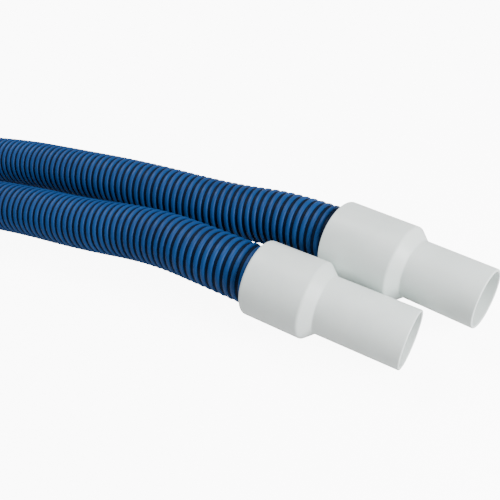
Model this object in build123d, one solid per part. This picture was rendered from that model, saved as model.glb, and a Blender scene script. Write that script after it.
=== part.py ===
"""Pool vacuum hose: a spiral-wound hose with a fixed cuff on one end and a swivel cuff on the other.

Millimetres, +Z up.  The origin is on the ground under the middle of the two cuffs, which lie
side by side with their mouths towards +X and -Y.  The hose runs back from them, towards -X and
+Y, to a tied round coil.
"""
import os
from math import cos, degrees, pi, radians, sin, tan

from build123d import *

os.makedirs("parts", exist_ok=True)

# Hose: the outside of its ribs, how far it is screwed into each cuff, how far it stays straight
# behind the cuff's rim, and the share of each run of its route that one arc takes.
HOSE_R = 23.0
HOSE_GRIP = 38.0
HOSE_STRAIGHT = 35.0
THREAD_BITE = 0.1
ARC_SHARE = 0.45

# Both cuffs: a collar over the hose, a sloping shoulder, and a socket for the fitting.
COLLAR_R = 28.8
SOCKET_BASE_R = 21.5
SOCKET_MOUTH_R = 21.2
SOCKET_BORE_R = 19.2
SHOULDER_LENGTH = 8.0
SHOULDER_ROUND = 3.0
SHOULDER_FILLET = 1.5
LIP_ROUND = 0.8

# Fixed cuff, screwed and glued straight on the hose.
FIXED_COLLAR = 46.5
FIXED_SOCKET = 61.5
FIXED_RIM_ROUND = 2.0
FIXED_PLACE = (-67.3, 29.5)
FIXED_HEADING = -44.05
FIXED_DROOP = 5.5

# Swivel cuff, which turns on a threaded sleeve.
SWIVEL_COLLAR = 55.0
SWIVEL_SOCKET = 51.5
SWIVEL_RIM_ROUND = 1.2
SWIVEL_PLACE = (-0.1, 48.1)
SWIVEL_HEADING = -51.8

# Gaskets at the hose end in each cuff.
GASKET_T = 3.0
GASKET_BORE_R = 19.6
GASKET_GAP = 0.05
GASKET_SIDE_GAP = 0.2

# Threaded sleeve inside the swivel cuff.  The retaining ring behind its flange holds the cuff.
SLEEVE_R = 24.6
SLEEVE_REAR = 0.6
SLEEVE_STOP_R = 19.6
SLEEVE_STOP_T = 4.0
FLANGE_R = 26.3
FLANGE_T = 3.4
RING_R = 26.45
RING_T = 6.0
RING_ROUND = 0.8
RUN_GAP = 0.08
PLAY = 0.1

# Coil: turns a hose diameter apart, two side by side in each of two layers and one in the
# hollow on top of them.
COIL_PLACE = (-861.7, 229.1)
COIL_MIDDLE_R = 230.0
TURN_STEP = 2 * HOSE_R
COIL_TOP_STEP = TURN_STEP * cos(radians(30))
COIL_TURNS = 4.68

# Hook-and-loop ties round the bundle of turns.
TIE_ANGLES = (30, 150, 270)
TIE_WIDTH = 25.0
TIE_T = 1.8
TIE_GAP = 0.15
COIL_LIFT = TIE_T + TIE_GAP

# Route of the hose from its straight start behind the fixed cuff to the coil's second layer.
FIXED_ROUTE = [
    (-147.2, 105.1, 31.0),
    (-202.4, 153.0, 25.3),
    (-258.9, 197.7, 23.2),
    (-316.5, 234.7, 23.0),
    (-381.8, 254.2, 23.0),
    (-450.0, 254.8, 27.0),
    (-515.6, 236.3, 37.0),
    (-573.5, 200.3, 50.0),
    (-619.1, 149.6, 63.0),
    (-654.0, 91.9, 70.9),
]

# Route of the hose from its straight start behind the swivel cuff to the coil's lowest turn.
SWIVEL_ROUTE = [
    (-80.7, 129.7, 25.0),
    (-140.3, 183.2, 23.5),
    (-199.2, 237.2, 23.0),
    (-256.5, 285.6, 23.0),
    (-358.3, 352.2, 23.0),
    (-493.5, 414.8, 23.0),
    (-636.1, 457.9, 23.0),
    (-783.3, 480.9, 24.0),
    (-857.8, 482.0, 24.9),
]


def save(node, shape):
    export_step(shape, f"parts/{node}.step")


def turned(outline, rounds):
    """A solid of revolution about X.  The outline holds (x, radius) corners, and rounds holds
    (corner, fillet radius) for the corners that are rounded."""
    face = make_face(Polyline(*outline, close=True))
    for corner, radius in rounds:
        nearest = face.vertices().sort_by_distance(corner)[0]
        face = fillet(nearest, radius)
    return revolve(face, axis=Axis.X)


def washer(start, end, inner_r, outer_r):
    """A plain ring about X, from start to end."""
    outline = [(start, inner_r), (start, outer_r), (end, outer_r), (end, inner_r)]
    return turned(outline, [])


def cuff(collar, socket, rim_round, cavity):
    """A cuff along X with its rear rim at x = 0.  The cavity lists (x, radius) corners from the
    inner end of the socket's bore back to the rear rim."""
    base = collar + SHOULDER_LENGTH
    mouth = base + socket
    outside = [(0, COLLAR_R), (collar, COLLAR_R), (base, SOCKET_BASE_R), (mouth, SOCKET_MOUTH_R)]
    outline = outside + [(mouth, SOCKET_BORE_R)] + cavity
    rounds = [
        ((0, COLLAR_R), rim_round),
        ((collar, COLLAR_R), SHOULDER_ROUND),
        ((base, SOCKET_BASE_R), SHOULDER_FILLET),
        ((mouth, SOCKET_MOUTH_R), LIP_ROUND),
        ((mouth, SOCKET_BORE_R), LIP_ROUND),
    ]
    return turned(outline, rounds)


def at_fixed_cuff():
    """Where the fixed cuff lies: its shoulder rests on the ground and its mouth droops."""
    droop = radians(FIXED_DROOP)
    height = COLLAR_R * cos(droop) + FIXED_COLLAR * sin(droop)
    return Pos(*FIXED_PLACE, height) * Rot(0, 0, FIXED_HEADING) * Rot(0, FIXED_DROOP, 0)


def at_swivel_cuff():
    """Where the swivel cuff lies: level, with its collar on the ground."""
    return Pos(*SWIVEL_PLACE, COLLAR_R) * Rot(0, 0, SWIVEL_HEADING)


def make_fixed_cuff():
    thread_r = HOSE_R - THREAD_BITE
    step = HOSE_GRIP + GASKET_T
    cavity = [(step, SOCKET_BORE_R), (step, thread_r), (0, thread_r)]
    place = at_fixed_cuff()
    save("fixed_cuff", place * cuff(FIXED_COLLAR, FIXED_SOCKET, FIXED_RIM_ROUND, cavity))
    gasket = washer(HOSE_GRIP, step, GASKET_BORE_R, thread_r - GASKET_SIDE_GAP)
    save("fixed_cuff_gasket", place * gasket)


def make_swivel_cuff():
    seat_r = RING_R - GASKET_GAP
    flange_end = RING_T + PLAY + FLANGE_T
    sleeve_end = HOSE_GRIP + SLEEVE_STOP_T
    gasket_start = sleeve_end + GASKET_GAP
    gasket_end = gasket_start + GASKET_T
    barrel_r = SLEEVE_R + RUN_GAP
    place = at_swivel_cuff()

    cavity = [
        (gasket_end, SOCKET_BORE_R),
        (gasket_end, barrel_r),
        (flange_end + PLAY, barrel_r),
        (flange_end + PLAY, seat_r),
        (0, seat_r),
    ]
    save("swivel_cuff", place * cuff(SWIVEL_COLLAR, SWIVEL_SOCKET, SWIVEL_RIM_ROUND, cavity))

    sleeve = turned(
        [
            (SLEEVE_REAR, HOSE_R - THREAD_BITE),
            (SLEEVE_REAR, SLEEVE_R),
            (RING_T + PLAY, SLEEVE_R),
            (RING_T + PLAY, FLANGE_R),
            (flange_end, FLANGE_R),
            (flange_end, SLEEVE_R),
            (sleeve_end, SLEEVE_R),
            (sleeve_end, SLEEVE_STOP_R),
            (HOSE_GRIP, SLEEVE_STOP_R),
            (HOSE_GRIP, HOSE_R - THREAD_BITE),
        ],
        [],
    )
    save("swivel_sleeve", place * sleeve)

    ring_bore_r = SLEEVE_R + RUN_GAP
    ring = turned(
        [(0, ring_bore_r), (0, RING_R), (RING_T, RING_R), (RING_T, ring_bore_r)],
        [((0, ring_bore_r), RING_ROUND)],
    )
    save("swivel_retaining_ring", place * ring)

    gasket = washer(gasket_start, gasket_end, GASKET_BORE_R, barrel_r - GASKET_SIDE_GAP)
    save("swivel_gasket", place * gasket)


def arc_radii(points):
    """One radius for each corner of a route: as large as its two runs allow."""
    radii = []
    for before, corner, after in zip(points, points[1:], points[2:]):
        run_in = Vector(*corner) - Vector(*before)
        run_out = Vector(*after) - Vector(*corner)
        half_turn = radians(run_in.get_angle(run_out)) / 2
        radii.append(ARC_SHARE * min(run_in.length, run_out.length) / tan(half_turn))
    return radii


def make_lead(node, place, route):
    """The stretch of hose from inside a cuff to the coil, as a plain round tube."""
    points = [tuple((place * Pos(x, 0, 0)).position) for x in (HOSE_GRIP, -HOSE_STRAIGHT)]
    points += route
    radii = arc_radii(points)
    path = FilletPolyline(*points, radius=radii)
    section = Plane(origin=path @ 0, z_dir=path % 0) * Circle(HOSE_R)
    tube = sweep(section, path=path)
    save(node, tube)
    expected = pi * HOSE_R**2 * path.length
    print(node, "length", round(path.length), "volume ratio", round(tube.volume / expected, 4))
    print("  arc radii", [round(radius) for radius in radii])
    return path.length


def bundle_outline(grow):
    """The rounded outline round the coil's turns, from the centres of its turns as (distance
    out, height), grown by the hose's radius and the given amount."""
    inner = COIL_MIDDLE_R - TURN_STEP / 2
    outer = COIL_MIDDLE_R + TURN_STEP / 2
    low = COIL_LIFT + HOSE_R
    high = low + TURN_STEP
    top = high + COIL_TOP_STEP
    centres = [(inner, low), (outer, low), (outer, high), (COIL_MIDDLE_R, top), (inner, high)]
    core = make_face(Plane.XZ * Polyline(*centres, close=True))
    return offset(core, amount=HOSE_R + grow)


def make_coil():
    """The closed outer shape of the coil's turns, a ring with an open middle."""
    ring = revolve(bundle_outline(0), axis=Axis.Z)
    save("hose_coil", Pos(*COIL_PLACE, 0) * ring)


def make_ties():
    """Hook-and-loop straps, each a closed band round the bundle."""
    band = bundle_outline(TIE_GAP + TIE_T) - bundle_outline(TIE_GAP)
    sweep_angle = degrees(TIE_WIDTH / (COIL_MIDDLE_R + TURN_STEP))
    for number, angle in enumerate(TIE_ANGLES, start=1):
        tie = revolve(band, axis=Axis.Z, revolution_arc=sweep_angle)
        turn = Rot(0, 0, angle - sweep_angle / 2)
        save(f"coil_tie_{number}", Pos(*COIL_PLACE, 0) * turn * tie)


make_fixed_cuff()
make_swivel_cuff()
fixed_lead = make_lead("hose_fixed_lead", at_fixed_cuff(), FIXED_ROUTE)
swivel_lead = make_lead("hose_swivel_lead", at_swivel_cuff(), SWIVEL_ROUTE)
make_coil()
make_ties()
turns_length = COIL_TURNS * 2 * pi * COIL_MIDDLE_R
print("hose length", round(fixed_lead + swivel_lead + turns_length))
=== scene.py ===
"""Looks of the pool vacuum hose: the spiral-wound hose, its ties, the finish of both cuffs, the
floor, the light and the camera.  Metres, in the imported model's frame."""
import math

import bmesh
import bpy
import numpy as np
from mathutils import Matrix, Vector


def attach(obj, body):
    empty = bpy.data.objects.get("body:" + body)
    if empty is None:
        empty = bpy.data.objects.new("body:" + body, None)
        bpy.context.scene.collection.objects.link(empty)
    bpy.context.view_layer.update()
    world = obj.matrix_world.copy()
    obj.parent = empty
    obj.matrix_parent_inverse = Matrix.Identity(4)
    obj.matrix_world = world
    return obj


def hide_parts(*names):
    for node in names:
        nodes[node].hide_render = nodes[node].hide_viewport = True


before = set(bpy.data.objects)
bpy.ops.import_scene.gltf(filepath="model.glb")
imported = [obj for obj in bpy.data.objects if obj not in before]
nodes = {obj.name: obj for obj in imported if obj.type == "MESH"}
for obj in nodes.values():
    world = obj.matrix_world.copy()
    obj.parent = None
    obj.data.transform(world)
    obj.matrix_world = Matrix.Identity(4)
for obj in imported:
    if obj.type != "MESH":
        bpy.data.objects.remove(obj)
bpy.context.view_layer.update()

# Hose: outside of the ribs, the web between them, the bore, and the spiral's pitch.
HOSE_R = 0.023
WEB_R = 0.0215
HOSE_BORE_R = 0.019
RIB_PITCH = 0.00658
RIB_HALF_WIDTH = 0.0019
RIB_RISE = 0.0019
RIB_SIDES = 28
RIB_PIECES = 6
RIB_END_GAP = 0.0002
WEB_SIDES = 32
WEB_STEP = 0.009

# Straight start of the hose in each cuff: from near the gasket, back along the cuff's axis.
HOSE_INSIDE = 0.036
HOSE_STRAIGHT = 0.035

FIXED_RIM = Vector((-0.0673, 0.0295, 0.033124))
FIXED_HEADING = math.radians(-44.05)
FIXED_DROOP = math.radians(5.5)
SWIVEL_RIM = Vector((-0.0001, 0.0481, 0.0288))
SWIVEL_HEADING = math.radians(-51.8)

# Route of the hose behind each cuff: the CAD model's without its last point, and with its visible
# stretch moved by up to 9 mm behind the fixed cuff and 18 mm behind the swivel cuff, so that no
# gap shows between the two.
FIXED_ROUTE = [
    (-0.1368, 0.1010, 0.0358),
    (-0.1996, 0.1470, 0.0322),
    (-0.2590, 0.1940, 0.0325),
    (-0.3173, 0.2342, 0.0316),
    (-0.3828, 0.2558, 0.0273),
    (-0.4512, 0.2581, 0.0270),
    (-0.5156, 0.2363, 0.0370),
    (-0.5735, 0.2003, 0.0500),
    (-0.6191, 0.1496, 0.0630),
]
SWIVEL_ROUTE = [
    (-0.0760, 0.1185, 0.0250),
    (-0.1420, 0.1743, 0.0310),
    (-0.2089, 0.2265, 0.0330),
    (-0.2665, 0.2738, 0.0325),
    (-0.3683, 0.3400, 0.0300),
    (-0.4935, 0.4148, 0.0230),
    (-0.6361, 0.4579, 0.0230),
    (-0.7833, 0.4809, 0.0240),
]

# Coil: its middle, the angle at which the hose comes in, the points along all its turns, and
# where the hose lies in the bundle as (degrees from there, distance out, height).
COIL_CENTRE = Vector((-0.8617, 0.2291, 0.02495))
COIL_ENTRY = 89.1
COIL_POINTS = 84
COIL_LIES = [
    (0, 0.253, 0.000),
    (308, 0.253, 0.000),
    (352, 0.207, 0.000),
    (648, 0.207, 0.000),
    (692, 0.207, 0.046),
    (986, 0.207, 0.046),
    (1008, 0.213, 0.069),
    (1030, 0.230, 0.0858),
    (1325, 0.230, 0.0858),
    (1347, 0.247, 0.069),
    (1369, 0.253, 0.046),
    (1685.1, 0.253, 0.046),
]

# Colours, each as a darker and a lighter shade.
BLUE_DARK = (0.003, 0.039, 0.148)
BLUE_LIGHT = (0.005, 0.053, 0.194)
BLACK_DARK = (0.001, 0.006, 0.020)
BLACK_LIGHT = (0.001, 0.009, 0.030)
WHITE_DARK = (0.74, 0.80, 0.78)
WHITE_LIGHT = (0.80, 0.86, 0.84)
FABRIC_DARK = (0.008, 0.008, 0.009)
FABRIC_LIGHT = (0.022, 0.022, 0.024)

# Camera: in front of the cuffs and above them, looking down and tilted a little to the left.
CAMERA_PLACE = (-0.0653, -0.2481, 0.3517)
CAMERA_PITCH = math.radians(46.2)
CAMERA_ROLL = math.radians(-16.8)
CAMERA_LENS = 41.54
CAMERA_SHIFT = -0.007

# Floor and light: the glow of the floor and backdrop that only the camera sees, the sky's
# strength, and each lamp's name, place, size and power.
FLOOR_SIZE = 12
WHITE_GLOW = 9.0
SKY = 0.38
LAMP_TARGET = (-0.05, 0.05, 0)
LIGHTS = [
    ("key", (-0.3, 0.9, 1.3), 0.7, 24),
    ("right", (0.50, -0.50, 0.42), 0.4, 13),
]

# Ties round the coil: webbing straps, each with its end lapped over itself.  The lap's two ends
# are the directions that it faces there, in degrees, and its tip is a share of its length.  It
# thins from its full thickness to the lap edge's share of it.  The section holds (share of the
# half width, share of the thickness).
TIE_ANGLES = (30, 150, 270)
TIE_HALF_WIDTH = 0.0125
TIE_T = 0.0016
TIE_GAP = 0.0001
TIE_STATIONS = 180
TIE_LAP = (35, 150)
TIE_TIP = 0.1
TIE_TIP_NARROWING = 0.45
TIE_LAP_EDGE = 0.35
TIE_LAP_EASE = 8
COIL_OUTSIDE = 0.3
TIE_SECTION = [
    (-1.0, 0.3),
    (-0.985, 0.8),
    (-0.95, 1.0),
    (-0.89, 1.0),
    (-0.85, 0.75),
    (-0.7, 0.9),
    (-0.55, 0.75),
    (-0.4, 0.9),
    (-0.25, 0.75),
    (-0.1, 0.9),
    (0.1, 0.9),
    (0.25, 0.75),
    (0.4, 0.9),
    (0.55, 0.75),
    (0.7, 0.9),
    (0.85, 0.75),
    (0.89, 1.0),
    (0.95, 1.0),
    (0.985, 0.8),
    (1.0, 0.3),
    (0.985, 0.0),
    (-0.985, 0.0),
]


def place_camera():
    forward = Vector((0, math.cos(CAMERA_PITCH), -math.sin(CAMERA_PITCH)))
    level_up = Vector((0, math.sin(CAMERA_PITCH), math.cos(CAMERA_PITCH)))
    across = Vector((1, 0, 0))
    right = math.cos(CAMERA_ROLL) * across + math.sin(CAMERA_ROLL) * level_up
    up = math.cos(CAMERA_ROLL) * level_up - math.sin(CAMERA_ROLL) * across
    camera = bpy.data.objects.new("camera", bpy.data.cameras.new("camera"))
    bpy.context.scene.collection.objects.link(camera)
    turn = Matrix((right, up, -forward)).transposed()
    camera.matrix_world = Matrix.Translation(CAMERA_PLACE) @ turn.to_4x4()
    camera.data.sensor_width = 36
    camera.data.lens = CAMERA_LENS
    camera.data.shift_x = CAMERA_SHIFT
    camera.data.clip_start = 0.01
    camera.data.clip_end = 50
    bpy.context.scene.camera = camera


def add_mesh(name, points, faces, material):
    mesh = bpy.data.meshes.new(name)
    mesh.from_pydata([tuple(p) for p in points], [], [tuple(f) for f in faces])
    mesh.update()
    mesh.shade_smooth()
    mesh.materials.append(material)
    piece = bpy.data.objects.new(name, mesh)
    bpy.context.scene.collection.objects.link(piece)
    return piece


def direction(heading, droop=0.0):
    flat = math.cos(droop)
    return Vector((flat * math.cos(heading), flat * math.sin(heading), -math.sin(droop)))


def coil_lies_at(angle):
    """Distance out and height of the hose that many degrees after it comes into the coil."""
    turned, outs, heights = zip(*COIL_LIES)
    return np.interp(angle, turned, outs), np.interp(angle, turned, heights)


def hose_points():
    """The hose's route, from the swivel cuff through the coil to the fixed cuff."""
    swivel = direction(SWIVEL_HEADING)
    fixed = direction(FIXED_HEADING, FIXED_DROOP)
    points = [SWIVEL_RIM + swivel * HOSE_INSIDE, SWIVEL_RIM - swivel * HOSE_STRAIGHT]
    points += [Vector(p) for p in SWIVEL_ROUTE]
    step = COIL_LIES[-1][0] / COIL_POINTS
    widen = 1 / math.cos(math.radians(step / 2))
    for number in range(COIL_POINTS):
        turned = (number + 0.5) * step
        out, height = coil_lies_at(turned)
        angle = math.radians(COIL_ENTRY + turned)
        across = Vector((math.cos(angle), math.sin(angle), 0)) * out * widen
        points.append(COIL_CENTRE + across + Vector((0, 0, height)))
    points += [Vector(p) for p in reversed(FIXED_ROUTE)]
    points += [FIXED_RIM - fixed * HOSE_STRAIGHT, FIXED_RIM + fixed * HOSE_INSIDE]
    return points


def smooth_line(points):
    """The points read along a NURBS spline through that route."""
    curve = bpy.data.curves.new("hose_line", "CURVE")
    curve.dimensions = "3D"
    spline = curve.splines.new("NURBS")
    spline.points.add(len(points) - 1)
    for control, point in zip(spline.points, points):
        control.co = (*point, 1)
    spline.order_u = 3
    spline.use_endpoint_u = True
    spline.resolution_u = 16
    holder = bpy.data.objects.new("hose_line", curve)
    bpy.context.scene.collection.objects.link(holder)
    bpy.context.view_layer.update()
    mesh = bpy.data.meshes.new_from_object(holder)
    line = np.array([v.co[:] for v in mesh.vertices])
    bpy.data.objects.remove(holder)
    bpy.data.curves.remove(curve)
    bpy.data.meshes.remove(mesh)
    return line


class Guide:
    """A line with its length so far, and two directions across it that don't twist."""

    def __init__(self, line):
        self.line = line
        steps = np.diff(line, axis=0)
        self.far = np.concatenate([[0], np.cumsum(np.linalg.norm(steps, axis=1))])
        self.length = self.far[-1]
        ahead = np.gradient(line, self.far, axis=0)
        self.ahead = ahead / np.linalg.norm(ahead, axis=1)[:, None]
        across = np.cross(self.ahead[0], (0, 0, 1))
        kept = []
        for tangent in self.ahead:
            across = across - tangent * np.dot(across, tangent)
            across = across / np.linalg.norm(across)
            kept.append(across)
        self.across = np.array(kept)
        self.rise = np.cross(self.ahead, self.across)

    def at(self, values, far):
        return np.stack([np.interp(far, self.far, values[:, k]) for k in range(3)], axis=-1)

    def surface(self, far, radius, angle):
        """Points on a tube round the line, for arrays of length along, radius and angle."""
        middle = self.at(self.line, far)
        side = self.at(self.across, far)
        rise = self.at(self.rise, far)
        return middle + radius[..., None] * (
            np.cos(angle)[..., None] * side + np.sin(angle)[..., None] * rise
        )


def grid_faces(rows, columns, wrap):
    """Quads between the points of a grid.  With wrap, the last column joins the first."""
    row, column = np.meshgrid(np.arange(rows - 1), np.arange(columns - (not wrap)), indexing="ij")
    after = (column + 1) % columns
    here = row * columns + column
    return np.stack(
        [here, row * columns + after, (row + 1) * columns + after, here + columns], axis=-1
    ).reshape(-1, 4)


def make_web(guide, material):
    """The thin black wall between the ribs, with its bore open at both ends."""
    rings = int(guide.length / WEB_STEP)
    along = np.linspace(0, guide.length, rings)
    around = np.linspace(0, 2 * np.pi, WEB_SIDES, endpoint=False)
    far, angle = np.meshgrid(along, around, indexing="ij")
    outside = guide.surface(far, np.full(far.shape, WEB_R), angle).reshape(-1, 3)
    inside = guide.surface(far, np.full(far.shape, HOSE_BORE_R), angle).reshape(-1, 3)
    skin = grid_faces(rings, WEB_SIDES, wrap=True)
    count = len(outside)
    faces = [skin[:, ::-1], skin + count]
    for ring in (0, rings - 1):
        here = ring * WEB_SIDES + np.arange(WEB_SIDES)
        after = ring * WEB_SIDES + (np.arange(WEB_SIDES) + 1) % WEB_SIDES
        edge = np.stack([here, after, after + count, here + count], axis=-1)
        faces.append(edge if ring == 0 else edge[:, ::-1])
    points = np.concatenate([outside, inside])
    return add_mesh("hose_web", points, np.concatenate(faces), material)


def rib_profile():
    """The rib's rounded section, as (along the hose, distance out)."""
    turns = np.linspace(0, np.pi, 9)
    along = -RIB_HALF_WIDTH * np.cos(turns)
    out = HOSE_R - RIB_RISE + RIB_RISE * np.sin(turns) ** 0.65
    return along, out


def make_ribs(guide, material):
    """The blue spiral rib, in a few pieces end to end."""
    along, out = rib_profile()
    margin = RIB_HALF_WIDTH + RIB_END_GAP
    first_turn = margin / RIB_PITCH
    last_turn = (guide.length - margin) / RIB_PITCH
    stations = int((last_turn - first_turn) * RIB_SIDES)
    cuts = np.linspace(0, stations, RIB_PIECES + 1).astype(int)
    ribs = []
    for number, (begin, end) in enumerate(zip(cuts, cuts[1:]), start=1):
        turns = first_turn + np.arange(begin, end + 1) / RIB_SIDES
        far = turns[:, None] * RIB_PITCH + along[None, :]
        angle = np.broadcast_to(2 * np.pi * turns[:, None], far.shape)
        radius = np.broadcast_to(out[None, :], far.shape)
        points = guide.surface(far, radius, angle).reshape(-1, 3)
        faces = grid_faces(len(turns), len(along), wrap=False)
        ribs.append(add_mesh(f"hose_rib_{number}", points, faces, material))
    return ribs


def turns_at(guide, angle):
    """Where the coil's turns cross the upright plane at that angle, as (distance out, height)."""
    out = np.array(direction(angle))
    away = guide.line - np.array(COIL_CENTRE)
    aside = away @ np.cross((0, 0, 1), out)
    outward = away @ out
    found = []
    for here in range(len(away) - 1):
        crosses = aside[here] * aside[here + 1] <= 0
        if crosses and 0 < outward[here] < COIL_OUTSIDE:
            share = aside[here] / (aside[here] - aside[here + 1])
            point = away[here] + share * (away[here + 1] - away[here])
            found.append((point @ out, point[2]))
    return found


def strap_layer(middles, radius, facing, widths, lifts, closed):
    """Points and faces of a strap round circles of that radius.  Each station has the direction
    it faces, its share of the full width and its share of the full thickness."""
    outward = np.stack([np.cos(facing), np.sin(facing)], axis=-1)
    furthest = np.argmax(outward @ middles.T, axis=1)
    base = middles[furthest] + radius * outward
    share, lift = np.array(TIE_SECTION).T
    across = widths[:, None] * TIE_HALF_WIDTH * share[None, :]
    rise = lifts[:, None] * TIE_T * lift[None, :]
    points = np.stack(
        [
            base[:, 0, None] + rise * outward[:, 0, None],
            across,
            base[:, 1, None] + rise * outward[:, 1, None],
        ],
        axis=-1,
    ).reshape(-1, 3)
    rows, columns = across.shape
    if closed:
        return points, [*(grid_faces(rows + 1, columns, wrap=True) % len(points))]
    ends = [np.arange(columns), np.arange(columns) + len(points) - columns]
    return points, [*grid_faces(rows, columns, wrap=True), *ends]


def make_tie(name, guide, degrees, material):
    """A webbing strap drawn tight round the coil's turns, with its tapered end lapped over it."""
    angle = math.radians(degrees)
    reach = TIE_HALF_WIDTH / COIL_LIES[0][1]
    middles = []
    for step in (-reach, 0, reach):
        middles += turns_at(guide, angle + step)
    middles = np.array(middles)
    round_it = np.linspace(0, 2 * np.pi, TIE_STATIONS, endpoint=False)
    full = np.ones(TIE_STATIONS)
    radius = HOSE_R + TIE_GAP
    points, faces = strap_layer(middles, radius, round_it, full, full, closed=True)

    lap = np.radians(np.linspace(*TIE_LAP, TIE_STATIONS // 2))
    from_end = np.linspace(0, 1, len(lap))
    into_tip = np.clip((from_end - 1 + TIE_TIP) / TIE_TIP, 0, 1)
    taper = 1 - TIE_TIP_NARROWING * into_tip**3
    nearest_end = np.minimum(from_end, 1 - from_end)
    thin = np.clip(TIE_LAP_EDGE + TIE_LAP_EASE * nearest_end, 0, 1)
    lap_points, lap_faces = strap_layer(middles, radius + TIE_T, lap, taper, thin, closed=False)
    faces += [face + len(points) for face in lap_faces]
    points = np.concatenate([points, lap_points])

    out = np.array(direction(angle))
    side = np.cross((0, 0, 1), out)
    placed = np.array(COIL_CENTRE) + points @ np.stack([out, side, np.array((0, 0, 1))])
    tie = add_mesh(name, placed, faces, material)
    mesh = bmesh.new()
    mesh.from_mesh(tie.data)
    bmesh.ops.recalc_face_normals(mesh, faces=mesh.faces)
    mesh.to_mesh(tie.data)
    mesh.free()
    return tie


def new_material(name, colour, roughness):
    material = bpy.data.materials.new(name)
    material.use_nodes = True
    shader = material.node_tree.nodes["Principled BSDF"]
    shader.inputs["Base Color"].default_value = (*colour, 1)
    shader.inputs["Roughness"].default_value = roughness
    return material, shader


class Grain:
    """Noise textures in a material, in metres, mixed into its colour, roughness and bump."""

    def __init__(self, material, shader):
        self.tree = material.node_tree
        self.shader = shader
        self.place = self.tree.nodes.new("ShaderNodeTexCoord").outputs["Object"]
        self.normal = None

    def noise(self, scale, detail):
        texture = self.tree.nodes.new("ShaderNodeTexNoise")
        texture.inputs["Scale"].default_value = scale
        texture.inputs["Detail"].default_value = detail
        self.tree.links.new(self.place, texture.inputs["Vector"])
        return texture.outputs["Fac"]

    def spread(self, value, low, high):
        """The value's middle range stretched out to run from low to high."""
        node = self.tree.nodes.new("ShaderNodeMapRange")
        node.inputs["From Min"].default_value = 0.3
        node.inputs["From Max"].default_value = 0.7
        node.inputs["To Min"].default_value = low
        node.inputs["To Max"].default_value = high
        self.tree.links.new(value, node.inputs["Value"])
        return node.outputs["Result"]

    def colour(self, value, dark, light):
        mix = self.tree.nodes.new("ShaderNodeMix")
        mix.data_type = "RGBA"
        mix.inputs["A"].default_value = (*dark, 1)
        mix.inputs["B"].default_value = (*light, 1)
        self.tree.links.new(self.spread(value, 0, 1), mix.inputs["Factor"])
        self.tree.links.new(mix.outputs["Result"], self.shader.inputs["Base Color"])

    def roughness(self, value, low, high):
        self.tree.links.new(self.spread(value, low, high), self.shader.inputs["Roughness"])

    def bump(self, value, depth, strength):
        """A bump of that depth in metres, on top of the bumps made before it."""
        node = self.tree.nodes.new("ShaderNodeBump")
        node.inputs["Distance"].default_value = depth
        node.inputs["Strength"].default_value = strength
        self.tree.links.new(value, node.inputs["Height"])
        if self.normal is not None:
            self.tree.links.new(self.normal, node.inputs["Normal"])
        self.normal = node.outputs["Normal"]
        self.tree.links.new(self.normal, self.shader.inputs["Normal"])


def hose_blue():
    material, shader = new_material("hose_blue", BLUE_LIGHT, 0.5)
    shader.inputs["Specular IOR Level"].default_value = 0.17
    grain = Grain(material, shader)
    grain.colour(grain.noise(28, 4), BLUE_DARK, BLUE_LIGHT)
    grain.roughness(grain.noise(160, 3), 0.42, 0.58)
    grain.bump(grain.noise(900, 2), 0.00008, 0.6)
    return material


def hose_black():
    material, shader = new_material("hose_black", BLACK_LIGHT, 0.7)
    shader.inputs["Specular IOR Level"].default_value = 0.1
    grain = Grain(material, shader)
    grain.colour(grain.noise(60, 3), BLACK_DARK, BLACK_LIGHT)
    grain.roughness(grain.noise(200, 2), 0.62, 0.8)
    return material


def cuff_white():
    """Moulded polyethylene: waxy and satin, with faint mottling and a fine moulded skin."""
    material, shader = new_material("cuff_white", WHITE_LIGHT, 0.42)
    shader.inputs["Subsurface Weight"].default_value = 0.12
    shader.inputs["Subsurface Radius"].default_value = (0.004, 0.0035, 0.003)
    shader.inputs["Subsurface Scale"].default_value = 1.0
    grain = Grain(material, shader)
    grain.colour(grain.noise(45, 4), WHITE_DARK, WHITE_LIGHT)
    grain.roughness(grain.noise(120, 3), 0.36, 0.5)
    grain.bump(grain.noise(1400, 2), 0.00003, 0.5)
    grain.bump(grain.noise(70, 2), 0.0003, 0.25)
    return material


def gasket_rubber():
    material, shader = new_material("gasket_rubber", (0.02, 0.02, 0.021), 0.75)
    grain = Grain(material, shader)
    grain.colour(grain.noise(300, 3), (0.012, 0.012, 0.013), (0.03, 0.03, 0.032))
    grain.bump(grain.noise(2500, 3), 0.00005, 0.6)
    return material


def sleeve_grey():
    material, shader = new_material("sleeve_grey", (0.55, 0.56, 0.57), 0.45)
    grain = Grain(material, shader)
    grain.colour(grain.noise(90, 3), (0.50, 0.51, 0.52), (0.58, 0.59, 0.60))
    grain.bump(grain.noise(1400, 2), 0.00003, 0.5)
    return material


def tie_fabric():
    """Hook-and-loop webbing: dull, with a fuzzy loop pile."""
    material, shader = new_material("tie_fabric", FABRIC_LIGHT, 0.95)
    shader.inputs["Sheen Weight"].default_value = 0.25
    shader.inputs["Sheen Roughness"].default_value = 0.5
    shader.inputs["Specular IOR Level"].default_value = 0.2
    grain = Grain(material, shader)
    grain.colour(grain.noise(500, 4), FABRIC_DARK, FABRIC_LIGHT)
    grain.bump(grain.noise(1100, 3), 0.0003, 0.8)
    return material


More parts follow.
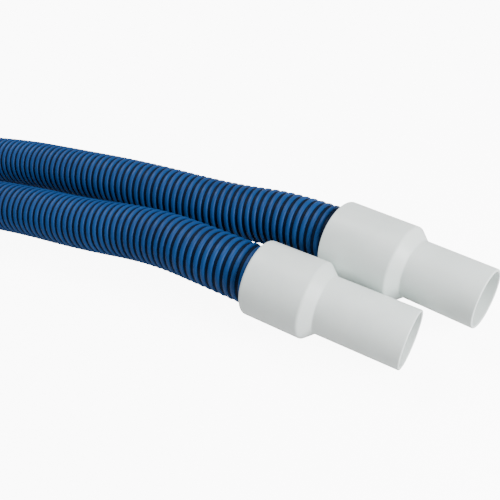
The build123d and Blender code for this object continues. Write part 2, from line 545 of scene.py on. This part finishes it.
def set_glow(tree, socket, strength, seen):
    """Set a strength, and another that only the camera sees, so that it lights nothing."""
    path = tree.nodes.new("ShaderNodeLightPath")
    glow = tree.nodes.new("ShaderNodeMapRange")
    glow.inputs["To Min"].default_value = strength
    glow.inputs["To Max"].default_value = seen
    tree.links.new(path.outputs["Is Camera Ray"], glow.inputs["Value"])
    tree.links.new(glow.outputs["Result"], socket)


def floor_white():
    material, shader = new_material("floor_white", (0.75, 0.75, 0.75), 0.9)
    shader.inputs["Emission Color"].default_value = (1, 1, 1, 1)
    set_glow(material.node_tree, shader.inputs["Emission Strength"], 0, WHITE_GLOW)
    return material


def add_light(name, place, size, power):
    light = bpy.data.lights.new(name, "AREA")
    light.shape = "DISK"
    light.size = size
    light.energy = power
    holder = bpy.data.objects.new(name, light)
    bpy.context.scene.collection.objects.link(holder)
    holder.location = place
    away = Vector(place) - Vector(LAMP_TARGET)
    holder.rotation_euler = away.to_track_quat("Z", "Y").to_euler()


place_camera()
guide = Guide(smooth_line(hose_points()))
web = make_web(guide, hose_black())
ribs = make_ribs(guide, hose_blue())
print("hose length", round(guide.length, 3))
for piece in (web, *ribs):
    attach(piece, "hose")
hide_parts("hose_fixed_lead", "hose_swivel_lead", "hose_coil")
fabric = tie_fabric()
for number, angle in enumerate(TIE_ANGLES, start=1):
    tie = make_tie(f"tie_strap_{number}", guide, angle, fabric)
    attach(tie, "hose")
    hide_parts(f"coil_tie_{number}")

for node, material in (
    ("fixed_cuff", cuff_white()),
    ("swivel_cuff", cuff_white()),
    ("swivel_retaining_ring", cuff_white()),
    ("swivel_sleeve", sleeve_grey()),
    ("fixed_cuff_gasket", gasket_rubber()),
    ("swivel_gasket", gasket_rubber()),
):
    nodes[node].data.materials.clear()
    nodes[node].data.materials.append(material)

bpy.ops.mesh.primitive_plane_add(size=FLOOR_SIZE, location=(0, 0, 0))
floor = bpy.context.object
floor.name = "floor"
floor.data.materials.append(floor_white())

world = bpy.data.worlds.new("world")
world.use_nodes = True
background = world.node_tree.nodes["Background"]
background.inputs["Color"].default_value = (1, 1, 1, 1)
set_glow(world.node_tree, background.inputs["Strength"], SKY, WHITE_GLOW)
bpy.context.scene.world = world
for name, place, size, power in LIGHTS:
    add_light(name, place, size, power)
